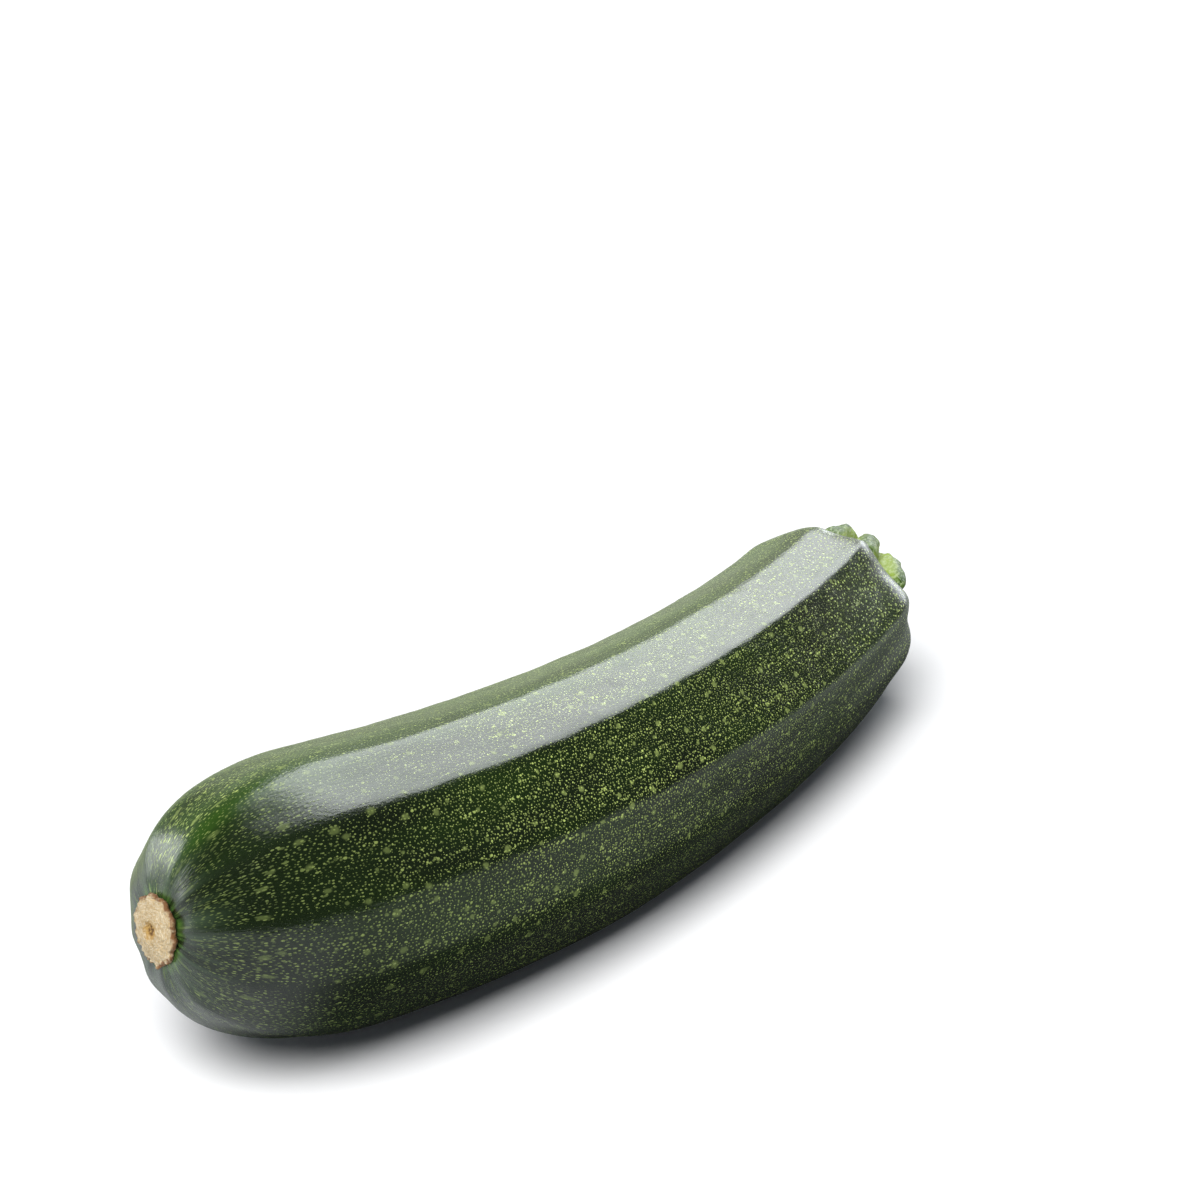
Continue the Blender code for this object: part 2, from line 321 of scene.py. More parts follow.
relief += BLOSSOM_FOLDS * folds * np.exp(-from_blossom / BLOSSOM_FOLD_REACH)[:, None]
relief += STALK_FOLDS * folds * np.exp(-from_stalk / STALK_FOLD_REACH)[:, None]
fruit_grid += MM * relief[:, :, None] * outward_normals(fruit_grid)

# The fruit is set down where its solid lies, and pressed flat where it rests
fruit_low, fruit_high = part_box("fruit")
solid_low = solid_grid.reshape(-1, 3).min(0)
solid_high = solid_grid.reshape(-1, 3).max(0)
shift = 0.5 * (np.array(fruit_low) + np.array(fruit_high) - solid_low - solid_high)
shift[2] = fruit_high.z - solid_high[2]
fruit_grid += shift
points += shift
fruit_grid[:, :, 2] = np.maximum(fruit_grid[:, :, 2], fruit_low.z)

fruit = closed_body("fruit_skin", fruit_grid, points[0], points[-1])

# Places for the skin's patterns, in millimetres. Towards the blossom end they run slower
# lengthwise than the millimetres do, so that the flecks grow long there. The marks beside them
# tell the material how far an end or a ridge is, and where the greener side and the bare edge are
FLECK_PACE = 0.92
FLECK_PACE_LOST = 0.62
FLECK_PACE_REACH = 40.0
FLECK_GROWTH = 0.10
FLECK_GROWTH_REACH = 42.0
STALK_NARROWING = 7.0
STALK_NARROWING_REACH = 9.0
GREEN_SIDE_RIDGE = 1.6
GREEN_SIDE_WIDTH = 0.8
BARE_EDGE_RIDGE = 2.92
BARE_EDGE_WIDTH = 0.11
growth = FLECK_GROWTH * np.exp(-((from_blossom / FLECK_GROWTH_REACH) ** 2))
sleeve = body_radius(shares) / MM * (1.0 - growth)
sleeve -= STALK_NARROWING * np.exp(-from_stalk / STALK_NARROWING_REACH)
pace = FLECK_PACE - FLECK_PACE_LOST * np.exp(-((from_blossom / FLECK_PACE_REACH) ** 2))
stretched = np.concatenate([[0.0], np.cumsum(np.diff(from_blossom) * pace[1:])])
skin_places = np.concatenate([
    np.broadcast_to(stretched[:, None, None], (FRUIT_RINGS, len(counts), 1)),
    sleeve[:, None, None] * round_places,
], 2)
across_fruit = (FRUIT_RINGS, len(counts))
mark(fruit, "skin_place", skin_places, (0.0, 0.0, 0.0), (stretched[-1], 0.0, 0.0))
mark(fruit, "from_blossom", np.broadcast_to(from_blossom[:, None], across_fruit), 0.0, from_blossom[-1])
mark(fruit, "from_stalk", np.broadcast_to(from_stalk[:, None], across_fruit), from_stalk[0], 0.0)
mark(fruit, "off_ridge", off_ridge, 0.0, 0.0)
green_side = np.exp(-(((counts - GREEN_SIDE_RIDGE) / GREEN_SIDE_WIDTH) ** 2))
mark(fruit, "green_side", np.broadcast_to(green_side, across_fruit), 0.0, 0.0)
bare_edge = np.exp(-(((counts - BARE_EDGE_RIDGE) / BARE_EDGE_WIDTH) ** 2))
mark(fruit, "bare_edge", np.broadcast_to(bare_edge, across_fruit), 0.0, 0.0)


# Fruit: its skin
# Blackish green with thousands of pale yellow-green flecks, from pinpoints to ragged blotches,
# under a thin natural wax. The flecks grow into dashes near the blossom end.
def add_node(tree, kind, inputs=None, **settings):
    """Adds a shader node in the next free place, with its sockets set or linked."""
    node = tree.nodes.new("ShaderNode" + kind)
    spot = len(tree.nodes)
    node.location = (190.0 * (spot % 14), -240.0 * (spot // 14))
    for name, value in settings.items():
        setattr(node, name, value)
    for name, value in (inputs or {}).items():
        if isinstance(value, bpy.types.NodeSocket):
            tree.links.new(value, node.inputs[name])
        else:
            node.inputs[name].default_value = value
    return node


def work_out(tree, operation, first, second=0.0, third=0.0):
    node = add_node(tree, "Math", {0: first, 1: second, 2: third}, operation=operation)
    return node.outputs[0]


def multiply(tree, first, *others):
    for other in others:
        first = work_out(tree, "MULTIPLY", first, other)
    return first


def highest(tree, first, *others):
    for other in others:
        first = work_out(tree, "MAXIMUM", first, other)
    return first


def ease(tree, value, start, end, low=0.0, high=1.0):
    """Low before start, high after end, and smooth between."""
    sockets = {"Value": value, "From Min": start, "From Max": end, "To Min": low, "To Max": high}
    return add_node(tree, "MapRange", sockets, interpolation_type="SMOOTHSTEP").outputs[0]


def stretch_places(tree, places, factors):
    return add_node(tree, "VectorMath", {0: places, 1: factors}, operation="MULTIPLY").outputs[0]


def blend_colour(tree, share, first, second):
    """Two colours mixed by a share; each is a socket, or red, green and blue."""
    first, second = (
        colour if isinstance(colour, bpy.types.NodeSocket) else (*colour, 1.0)
        for colour in (first, second)
    )
    sockets = {0: share, 6: first, 7: second}
    return add_node(tree, "Mix", sockets, data_type="RGBA").outputs[2]


def read_mark(tree, name, output="Fac"):
    """A number that was written to the mesh, or its place with the output Vector."""
    return add_node(tree, "Attribute", attribute_name=name).outputs[output]


def new_group(name, inputs, outputs):
    """An empty shader group; each input and output is a name and a kind, inputs with a value too."""
    group = bpy.data.node_groups.new(name, "ShaderNodeTree")
    for title, kind, value in inputs:
        socket = group.interface.new_socket(title, in_out="INPUT", socket_type="NodeSocket" + kind)
        if value is not None:
            socket.default_value = value
    for title, kind in outputs:
        group.interface.new_socket(title, in_out="OUTPUT", socket_type="NodeSocket" + kind)
    start = group.nodes.new("NodeGroupInput")
    end = group.nodes.new("NodeGroupOutput")
    end.location = (2700.0, 0.0)
    return group, start.outputs, end.inputs


def use_group(tree, group, **values):
    """Places a group in a material; an input's name is written with _ for each space."""
    node = tree.nodes.new("ShaderNodeGroup")
    node.node_tree = group
    spot = len(tree.nodes)
    node.location = (190.0 * (spot % 14), -240.0 * (spot // 14))
    for name, value in values.items():
        socket = node.inputs[name.replace("_", " ").title()]
        if isinstance(value, bpy.types.NodeSocket):
            tree.links.new(value, socket)
        else:
            socket.default_value = value
    return node.outputs


# Flecks: ragged spots scattered over a flat place, at most one to each cell of the spacing. The
# shade is a random number for each of them
RAGGED_EDGE_FINENESS = 2.6

flecks, given, wanted = new_group(
    "flecks",
    [("Place", "Vector", None), ("Spacing", "Float", 1.0), ("Size", "Float", 0.4),
     ("Spread", "Float", 0.5), ("Raggedness", "Float", 0.2), ("Softness", "Float", 0.4)],
    [("Mask", "Float"), ("Shade", "Float")],
)
ragged = add_node(flecks, "TexNoise", {
    "Vector": given["Place"], "Detail": 2.0,
    "Scale": work_out(flecks, "DIVIDE", RAGGED_EDGE_FINENESS, given["Spacing"]),
})
centred = add_node(flecks, "VectorMath", {
    0: ragged.outputs["Color"], 1: (0.5, 0.5, 0.5),
}, operation="SUBTRACT")
reach = work_out(flecks, "MULTIPLY", given["Raggedness"], given["Spacing"])
moved = add_node(flecks, "VectorMath", {0: centred.outputs[0], "Scale": reach}, operation="SCALE")
place = add_node(flecks, "VectorMath", {0: given["Place"], 1: moved.outputs[0]}, operation="ADD")
cells = add_node(flecks, "TexVoronoi", {
    "Vector": place.outputs[0], "Scale": work_out(flecks, "DIVIDE", 1.0, given["Spacing"]),
}, voronoi_dimensions="2D")
chance = add_node(flecks, "SeparateColor", {"Color": cells.outputs["Color"]})
smaller = work_out(flecks, "MULTIPLY", given["Spread"], chance.outputs["Red"])
size = work_out(flecks, "MULTIPLY", given["Size"], work_out(flecks, "SUBTRACT", 1.0, smaller))
inner = work_out(flecks, "MULTIPLY", size, work_out(flecks, "SUBTRACT", 1.0, given["Softness"]))
flecks.links.new(ease(flecks, cells.outputs["Distance"], inner, size, 1.0, 0.0), wanted["Mask"])
flecks.links.new(chance.outputs["Green"], wanted["Shade"])

# Mottling: soft cloudy variation between two values, which all but the rarest noise keeps to
NOISE_LOW = 0.32
NOISE_HIGH = 0.68

mottling, given, wanted = new_group(
    "mottling",
    [("Place", "Vector", None), ("Patch Size", "Float", 10.0), ("Detail", "Float", 2.0),
     ("Low", "Float", 0.0), ("High", "Float", 1.0)],
    [("Amount", "Float")],
)
clouds = add_node(mottling, "TexNoise", {
    "Vector": given["Place"], "Scale": work_out(mottling, "DIVIDE", 1.0, given["Patch Size"]),
    "Detail": given["Detail"],
})
amount = add_node(mottling, "MapRange", {
    "Value": clouds.outputs["Fac"], "From Min": NOISE_LOW, "From Max": NOISE_HIGH,
    "To Min": given["Low"], "To Max": given["High"],
})
mottling.links.new(amount.outputs[0], wanted["Amount"])


def mottle(tree, place, **values):
    """The cloudy variation at a place, in patches of a size and between a low and a high value."""
    return use_group(tree, mottling, place=place, **values)["Amount"]


SKIN_BLACKISH = (0.0042, 0.0076, 0.0030)
SKIN_GREEN = (0.0110, 0.0260, 0.0035)
SKIN_VIVID = (0.0480, 0.1300, 0.0110)
SKIN_FRINGE = (0.0750, 0.1600, 0.0220)
# The next colour is painted sheen, for the pale streaks by the scar and the collar under the stalk
SKIN_PAINTED_SHEEN = (0.0400, 0.0650, 0.0350)
FLECK_BRIGHT = (0.5400, 0.6600, 0.1800)
FLECK_DULL = (0.1400, 0.1900, 0.0600)
WAX_ROUGHNESS = 0.235
FLECK_ROUGHNESS = 0.06
SKIN_IOR = 1.45

# Lengthwise stretch of the patterns in rows and in clouds, and the radius of the rolled out skin
ROW_STRETCH = (0.06, 1.0, 1.0)
CLOUD_STRETCH = (0.4, 1.0, 1.0)
GRAIN_STRETCH = (0.2, 1.0, 1.0)
ROLLED_RADIUS = 22.0

# Millimetres over the skin from the scar's seat between which a change is made
SCAR_BARE_SPAN = (0.5, 8.0)
NOSE_SPAN = (8.0, 55.0)
# The nose is painted in shade between the next two spans: its flecks dimmed, its ground darkened
NOSE_FLECK_SHADE_SPAN = (10.0, 88.0)
NOSE_GROUND_SHADE_SPAN = (10.0, 65.0)
VIVID_SPAN = (4.0, 14.0)
PAINTED_SHEEN_SPAN = (1.0, 15.0)
FRINGE_SPAN = (0.3, 2.4)

# Millimetres over the skin from the stalk's seat between which a change is made
STALK_BARE_SPAN = (1.5, 8.0)
NECK_SPAN = (10.0, 80.0)
COLLAR_SPAN = (0.5, 5.5)

# How much of the flecks the bare streaks keep, and how much of that is lost at the nose
STREAK_KEEPS = 0.85
STREAK_LOSES_AT_NOSE = -0.55
STREAK_INNER_EDGE = 0.2
BARE_EDGE_STRENGTH = 0.45

skin = bpy.data.materials.new("courgette skin")
skin.use_nodes = True
tree = skin.node_tree
shader = tree.nodes["Principled BSDF"]
place = read_mark(tree, "skin_place", "Vector")
blossom_distance = read_mark(tree, "from_blossom")
stalk_distance = read_mark(tree, "from_stalk")
ridge_distance = read_mark(tree, "off_ridge")
green_side = read_mark(tree, "green_side")
cloud_place = stretch_places(tree, place, CLOUD_STRETCH)

# Where flecks are many or few: lengthwise rows, cloudy patches, bare streaks along the ridges,
# and few beside the stalk and the scar
rows = mottle(tree, stretch_places(tree, place, ROW_STRETCH),
              patch_size=0.85, detail=1.0, low=0.66, high=1.26)
patches = mottle(tree, cloud_place, patch_size=5.0, detail=2.0, low=0.93, high=1.05)
streak_width = mottle(tree, cloud_place, patch_size=8.0, detail=2.0, low=0.3, high=1.5)
near_blossom = ease(tree, blossom_distance, *NOSE_SPAN, low=1.0, high=0.0)
streak_keeps = work_out(tree, "MULTIPLY_ADD", near_blossom, STREAK_LOSES_AT_NOSE, STREAK_KEEPS)
off_streak = ease(tree, ridge_distance, STREAK_INNER_EDGE, streak_width)
off_streak = highest(tree, off_streak, streak_keeps, green_side)
bare_edge = multiply(tree, read_mark(tree, "bare_edge"), streak_width, BARE_EDGE_STRENGTH)
off_edge = work_out(tree, "SUBTRACT", 1.0, bare_edge)
off_scar = ease(tree, blossom_distance, *SCAR_BARE_SPAN, low=0.35)
off_stalk = ease(tree, stalk_distance, *STALK_BARE_SPAN, low=0.2)
abundance = multiply(tree, rows, patches, off_streak, off_edge, off_scar, off_stalk)

# Three sizes of fleck: pinpoints, which crowd together in blotches, and larger dots, which are
# rare at the nose and take over towards the stalk. They lie on the skin rolled out flat, so its
# seam runs along the side towards -Y, where it doesn't show among so many of them
axes = add_node(tree, "SeparateXYZ", {"Vector": place}).outputs
turn = work_out(tree, "ARCTAN2", axes["Z"], axes["Y"])
rolled = multiply(tree, turn, ROLLED_RADIUS)
flat = add_node(tree, "CombineXYZ", {"X": axes["X"], "Y": rolled}).outputs[0]
blotches = use_group(tree, flecks, place=flat, spacing=4.2, size=0.19, spread=0.70, raggedness=0.20,
                     softness=0.60)
crowding = work_out(tree, "MULTIPLY_ADD", blotches["Mask"], 0.55, abundance)
pinpoints = use_group(tree, flecks, place=flat, spacing=0.48, size=multiply(tree, crowding, 0.37),
                      spread=0.40, raggedness=0.20, softness=0.45)
dots = use_group(tree, flecks, place=flat, spacing=0.98, size=multiply(tree, abundance, 0.27),
                 spread=0.40, raggedness=0.12, softness=0.40)
pinpoint_strength = work_out(tree, "MULTIPLY_ADD", pinpoints["Shade"], 0.62, 0.30)
pinpoint_fading = ease(tree, stalk_distance, *NECK_SPAN, low=0.45)
pinpoint_share = multiply(tree, pinpoints["Mask"], pinpoint_strength, pinpoint_fading)
dot_rarity = ease(tree, stalk_distance, *NECK_SPAN, low=-0.20, high=0.60)
dot_chance = work_out(tree, "SUBTRACT", dots["Shade"], dot_rarity)
dot_share = multiply(tree, dots["Mask"], ease(tree, dot_chance, 0.0, 0.35, high=0.95))
blotch_share = multiply(tree, blotches["Mask"], 0.50)
# Painted shade: the flecks are dimmed towards the nose, but not on the upper side
nose_shade_on_flecks = highest(tree, ease(tree, blossom_distance, *NOSE_FLECK_SHADE_SPAN, low=0.44), green_side)
fleck_mask = multiply(tree, highest(tree, blotch_share, pinpoint_share, dot_share), nose_shade_on_flecks)
fleck_colour = blend_colour(tree, fleck_mask, FLECK_DULL, FLECK_BRIGHT)

# Ground colour between the flecks: vivid green on the upper side near the blossom end, pale
# streaks of painted sheen and a green fringe close to the scar, and a pale collar of painted
# sheen under the stalk
greenness = mottle(tree, cloud_place, patch_size=9.0, detail=3.0, low=0.0, high=0.8)
# Painted shade: the ground stays blackish towards the nose, but not on the upper side
off_nose_shade = highest(tree, ease(tree, blossom_distance, *NOSE_GROUND_SHADE_SPAN, low=0.2), green_side)
green_share = work_out(tree, "MULTIPLY_ADD", green_side, 0.4, multiply(tree, greenness, off_nose_shade))
ground = blend_colour(tree, green_share, SKIN_BLACKISH, SKIN_GREEN)
vivid_reach = multiply(tree, near_blossom, ease(tree, blossom_distance, *VIVID_SPAN))
vivid_reach = work_out(tree, "MULTIPLY_ADD", vivid_reach, 0.55, 0.40)
vivid = multiply(tree, green_side, vivid_reach, greenness)
ground = blend_colour(tree, vivid, ground, SKIN_VIVID)
round_only = stretch_places(tree, place, (0.0, 1.0, 1.0))
round_only = add_node(tree, "VectorMath", {0: round_only}, operation="NORMALIZE").outputs[0]
radial = mottle(tree, round_only, patch_size=0.16, detail=2.0, low=-0.2, high=1.0)
radial = highest(tree, radial, 0.0)
# Painted sheen: pale grey-green streaks by the scar and a pale collar under the stalk
painted_sheen_streaks = multiply(tree, radial, ease(tree, blossom_distance, *PAINTED_SHEEN_SPAN, low=0.8, high=0.0))
ground = blend_colour(tree, painted_sheen_streaks, ground, SKIN_PAINTED_SHEEN)
fringe = multiply(tree, radial, ease(tree, blossom_distance, *FRINGE_SPAN, low=0.9, high=0.0))
ground = blend_colour(tree, fringe, ground, SKIN_FRINGE)
painted_sheen_collar = ease(tree, stalk_distance, *COLLAR_SPAN, low=0.7, high=0.0)
ground = blend_colour(tree, painted_sheen_collar, ground, SKIN_PAINTED_SHEEN)
tree.links.new(blend_colour(tree, fleck_mask, ground, fleck_colour), shader.inputs["Base Color"])

# Wax: smooth but never a mirror, duller on the flecks, with fine peel and lengthwise grain
peel = mottle(tree, place, patch_size=0.50, detail=2.0, low=-0.5, high=0.5)
grain = mottle(tree, stretch_places(tree, place, GRAIN_STRETCH),
               patch_size=0.55, detail=2.0, low=-0.5, high=0.5)
dullness = mottle(tree, place, patch_size=3.0, detail=3.0, low=-0.015, high=0.03)
roughness = work_out(tree, "MULTIPLY_ADD", fleck_mask, FLECK_ROUGHNESS, WAX_ROUGHNESS)
tree.links.new(work_out(tree, "ADD", roughness, dullness), shader.inputs["Roughness"])
height = multiply(tree, peel, 0.019)
height = work_out(tree, "MULTIPLY_ADD", grain, 0.012, height)
height = work_out(tree, "MULTIPLY_ADD", fleck_mask, 0.006, height)
bump = add_node(tree, "Bump", {"Height": height, "Distance": MM, "Strength": 1.0})
tree.links.new(bump.outputs[0], shader.inputs["Normal"])
shader.inputs["IOR"].default_value = SKIN_IOR

fruit.data.materials.append(skin)
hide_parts("fruit")
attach(fruit, "root")


# Stalk stub
# Soft five-sided stalk tissue cut through with a knife: strong and weak ridges in turn that
# swell into rounded lobes on the shoulder, with a moist fibrous cut face. It is grown on.
LOBE_STRENGTH = (1.0, 0.72, 0.94, 0.78, 1.14, 0.70, 1.02, 0.74, 1.05, 0.70)
STALK_HEIGHT = 0.0110
STALK_NECK_CORE = 0.0072
STALK_BASE_CORE = 0.0098
STALK_LOBE_AT_NECK = 0.0029
STALK_LOBE_AT_BASE = 0.0050
LOBE_FULLNESS = 0.45
STALK_FLARE_HEIGHT = 0.0084
STALK_FLARE_POWER = 3.0
LOBE_ROUND_HEIGHT = 0.0026
LOBE_ROUND_INSET = 0.0018
CUT_TILT = math.radians(7)
CUT_DISH = 0.0006
CLEARANCE = 0.0003
STALK_COLUMNS_PER_RIDGE = 26
STALK_SIDE_RINGS = 54
STALK_CUT_RINGS = 26
STALK_RING_CROWDING = 1.3
STALK_WRINKLES = 0.00012
STALK_PIMPLES = 0.00002
STALK_RIBS = 0.00008
STALK_RIBS_PER_LOBE = 3.0
STALK_UNDERSIDE_PARTS = (0.45, 0.80)
CUT_RAGGED = 0.00014
CUT_RAGGED_WIDTH = 0.05
CUT_FIBRES = 0.00014
CUT_RAYS = 1.2
FIBRE_STRETCH = 0.25


def shoulder_drop(radius):
    """How far the shoulder has fallen behind the stalk's seat at a distance from the axis."""
    rise = np.clip((radius - SHOULDER_SEAT_RADIUS) / (NECK_RADIUS - SHOULDER_SEAT_RADIUS), 0.0, 1.0)
    left = (1.0 - rise**SHOULDER_ROUND_POWER) ** (1.0 / SHOULDER_ROUND_POWER)
    return SHOULDER_ROUND_LENGTH * (1.0 - left)


def stalk_radius(counts, height):
    """Distance from the stalk's axis to its side: a ridged core, widening into lobes at its foot."""
    flare = math.exp(-((height / STALK_FLARE_HEIGHT) ** STALK_FLARE_POWER))
    core = STALK_NECK_CORE + (STALK_BASE_CORE - STALK_NECK_CORE) * flare
    lobe = STALK_LOBE_AT_NECK + (STALK_LOBE_AT_BASE - STALK_LOBE_AT_NECK) * flare
    strength = np.interp(counts, np.arange(RIDGE_COUNT + 1), [*LOBE_STRENGTH, LOBE_STRENGTH[0]])
    return core + lobe * strength * (0.5 + 0.5 * np.cos(2.0 * math.pi * counts)) ** LOBE_FULLNESS


stalk_counts = np.arange(RIDGE_COUNT * STALK_COLUMNS_PER_RIDGE) / STALK_COLUMNS_PER_RIDGE
stalk_angles = ridge_angles(stalk_counts, 1.0)
stalk_across, stalk_up = cross_axes(along[-1])
stalk_outward = np.cos(stalk_angles)[:, None] * stalk_across + np.sin(stalk_angles)[:, None] * stalk_up
stalk_seat = points[-1]


def stalk_ring(radius, height):
    """One ring of the stub at distances from its axis and heights over its seat."""
    height = np.broadcast_to(height, radius.shape)
    return stalk_seat + radius[:, None] * stalk_outward + height[:, None] * along[-1]


foot = stalk_radius(stalk_counts, 0.0) - LOBE_ROUND_INSET
rim = CLEARANCE - shoulder_drop(foot)
cut_radius = stalk_radius(stalk_counts, STALK_HEIGHT)
cut_slope = math.tan(CUT_TILT) * cut_radius * np.sin(stalk_angles)
stalk_rings = []
stalk_marks = []
for part in STALK_UNDERSIDE_PARTS:
    stalk_rings.append(stalk_ring(foot * part, CLEARANCE - shoulder_drop(foot * part)))
    stalk_marks.append((0.0, 0.0))
for step in range(STALK_SIDE_RINGS + 1):
    part = (step / STALK_SIDE_RINGS) ** STALK_RING_CROWDING
    risen = part * STALK_HEIGHT
    tuck = LOBE_ROUND_INSET * max(0.0, 1.0 - risen / LOBE_ROUND_HEIGHT) ** 2
    side = stalk_radius(stalk_counts, risen) - tuck
    stalk_rings.append(stalk_ring(side, rim + (STALK_HEIGHT + cut_slope - rim) * part))
    stalk_marks.append((part, 0.0))
for step in range(1, STALK_CUT_RINGS):
    part = 1.0 - step / STALK_CUT_RINGS
    cut_height = STALK_HEIGHT + cut_slope * part - CUT_DISH * (1.0 - part)
    stalk_rings.append(stalk_ring(cut_radius * part, cut_height))
    stalk_marks.append((1.0, 1.0 - part))
stalk_grid = np.stack(stalk_rings)
stalk_marks = np.array(stalk_marks)

# Relief of the stub: wrinkles, pimples and ribs on its side, rays and fibres in its cut, and a
# ragged edge between them
stalk_places = (stalk_grid - stalk_seat) / MM
lengthwise = stalk_places @ along[-1]
sideways = stalk_places - lengthwise[:, :, None] * along[-1]
fibre_places = FIBRE_STRETCH * lengthwise[:, :, None] * along[-1] + sideways
is_side = (stalk_marks[:, 1] == 0.0) & (stalk_marks[:, 0] > 0.0)
is_cut = stalk_marks[:, 1] > 0.0
stalk_relief = STALK_WRINKLES * unevenness(fibre_places, wavelength=3.2, seed=21)
stalk_relief += STALK_PIMPLES * unevenness(stalk_places, wavelength=1.1, seed=22)
rib_shape = np.cos(2.0 * math.pi * STALK_RIBS_PER_LOBE * stalk_counts)
rib_shape *= np.cos(math.pi * stalk_counts) ** 2
stalk_relief += STALK_RIBS * rib_shape[None, :]
stalk_relief *= is_side[:, None]
ray = np.cos(2.0 * math.pi * stalk_counts)[None, :] * (1.0 - stalk_marks[:, 1:])
cut_relief = CUT_FIBRES * (unevenness(sideways, wavelength=1.5, seed=23) + CUT_RAYS * ray)
stalk_relief += cut_relief * is_cut[:, None]
rim_closeness = np.exp(-(((stalk_marks[:, 0] - 1.0) / CUT_RAGGED_WIDTH) ** 2))
rim_closeness *= (1.0 - stalk_marks[:, 1]) ** 6
stalk_relief += CUT_RAGGED * unevenness(sideways, wavelength=1.9, seed=24) * rim_closeness[:, None]
stalk_grid += stalk_relief[:, :, None] * outward_normals(stalk_grid)

cut_middle = stalk_seat + (STALK_HEIGHT - CUT_DISH) * along[-1]
stalk = closed_body("stalk_stub", stalk_grid, stalk_seat + CLEARANCE * along[-1], cut_middle)
across_stalk = lengthwise.shape
lobe_top = 0.5 + 0.5 * np.cos(2.0 * math.pi * stalk_counts)
top_place = STALK_HEIGHT / MM
mark(stalk, "stalk_place", stalk_places, (0.0, 0.0, 0.0), (0.0, 0.0, top_place))
mark(stalk, "fibre_place", fibre_places, (0.0, 0.0, 0.0), (0.0, 0.0, FIBRE_STRETCH * top_place))
mark(stalk, "lobe_top", np.broadcast_to(lobe_top[None, :], across_stalk), 0.0, 0.0)
mark(stalk, "into_cut", np.broadcast_to(stalk_marks[:, 1:], across_stalk), 0.0, 1.0)

LOBE_GREEN = (0.0300, 0.0750, 0.0060)
LOBE_LIGHT = (0.0900, 0.1700, 0.0150)
VALLEY_YELLOW = (0.2400, 0.3400, 0.0120)
STREAK_WHITE = (0.5500, 0.6500, 0.3500)
CUT_PALE = (0.5800, 0.6400, 0.2600)
CUT_DEEP = (0.3000, 0.4000, 0.0600)
LOBE_EDGE = (0.25, 0.85)
STAR_EDGE = (-0.1, 0.7)
CUT_EDGE = (0.02, 0.10)
STALK_ROUGHNESS = 0.40
CUT_WETNESS = -0.08

flesh = bpy.data.materials.new("stalk flesh")
flesh.use_nodes = True
tree = flesh.node_tree
shader = tree.nodes["Principled BSDF"]
place = read_mark(tree, "stalk_place", "Vector")
fibres = read_mark(tree, "fibre_place", "Vector")
lobe_mark = read_mark(tree, "lobe_top")
cut_mark = read_mark(tree, "into_cut")
tint = mottle(tree, fibres, patch_size=2.2, detail=3.0, low=-0.25, high=0.25)
lobe_share = ease(tree, work_out(tree, "ADD", lobe_mark, tint), *LOBE_EDGE)
lobe_tint = mottle(tree, fibres, patch_size=1.3, detail=2.0, low=0.0, high=1.0)
lobe_colour = blend_colour(tree, lobe_tint, LOBE_GREEN, LOBE_LIGHT)
side_colour = blend_colour(tree, lobe_share, VALLEY_YELLOW, lobe_colour)
speckle_share = mottle(tree, fibres, patch_size=0.5, detail=1.0, low=-0.35, high=0.45)
speckle_share = highest(tree, speckle_share, 0.0)
side_colour = blend_colour(tree, speckle_share, side_colour, STREAK_WHITE)
cut_tint = mottle(tree, place, patch_size=0.7, detail=3.0, low=-0.45, high=0.45)
star = work_out(tree, "MULTIPLY_ADD", cut_mark, -0.5, work_out(tree, "ADD", lobe_mark, cut_tint))
star_share = ease(tree, star, *STAR_EDGE, low=1.0, high=0.0)
cut_colour = blend_colour(tree, star_share, CUT_DEEP, CUT_PALE)
cut_share = ease(tree, cut_mark, *CUT_EDGE)
tree.links.new(blend_colour(tree, cut_share, side_colour, cut_colour), shader.inputs["Base Color"])
wet = work_out(tree, "MULTIPLY_ADD", cut_share, CUT_WETNESS, STALK_ROUGHNESS)
tree.links.new(work_out(tree, "MULTIPLY_ADD", tint, 0.2, wet), shader.inputs["Roughness"])
pores = mottle(tree, place, patch_size=0.35, detail=2.0, low=-0.5, high=0.5)
threads = mottle(tree, fibres, patch_size=0.4, detail=2.0, low=-0.5, high=0.5)
height = work_out(tree, "MULTIPLY_ADD", threads, 0.05, multiply(tree, pores, 0.03))
bump = add_node(tree, "Bump", {"Height": height, "Distance": MM, "Strength": 1.0})
tree.links.new(bump.outputs[0], shader.inputs["Normal"])
shader.inputs["Specular IOR Level"].default_value = 0.12
shader.inputs["Subsurface Weight"].default_value = 0.25
shader.inputs["Subsurface Radius"].default_value = (0.8, 1.0, 0.3)
shader.inputs["Subsurface Scale"].default_value = 0.0012

stalk.data.materials.append(flesh)
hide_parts("stalk")
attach(stalk, "root")


# Blossom scar
# Dry cork that sealed the place where the flower fell off: a low dome with fine rings, a brown
# ragged rim that curls a little, and a pit where the holes of the style's vessels are painted shade.
SCAR_RADIUS = 0.0058
SCAR_RIM_HEIGHT = 0.0007
SCAR_DOME = 0.0011
SCAR_PIT_RADIUS = 0.0013
SCAR_PIT_DEPTH = 0.0007
SCAR_EDGE_WAVES = ((10, 0.035, 1.6), (3, 0.020, 1.0), (23, 0.015, 0.4))
SCAR_UNDERSIDE_PARTS = (0.5, 0.98)
SCAR_RIM_START = 0.6
SCAR_RIM_STEPS = 4.0
SCAR_INNERMOST = 0.02
SCAR_COLUMNS = 180
SCAR_RINGS = 56
SCAR_RING_RELIEF = 0.00006
SCAR_CRUMBLE = 0.00003
SCAR_RIM_TATTERS = 0.00010
SCAR_TATTERS_FROM = 0.88
SCAR_RING_COUNT = 13.0
SCAR_RING_WANDER = 0.05

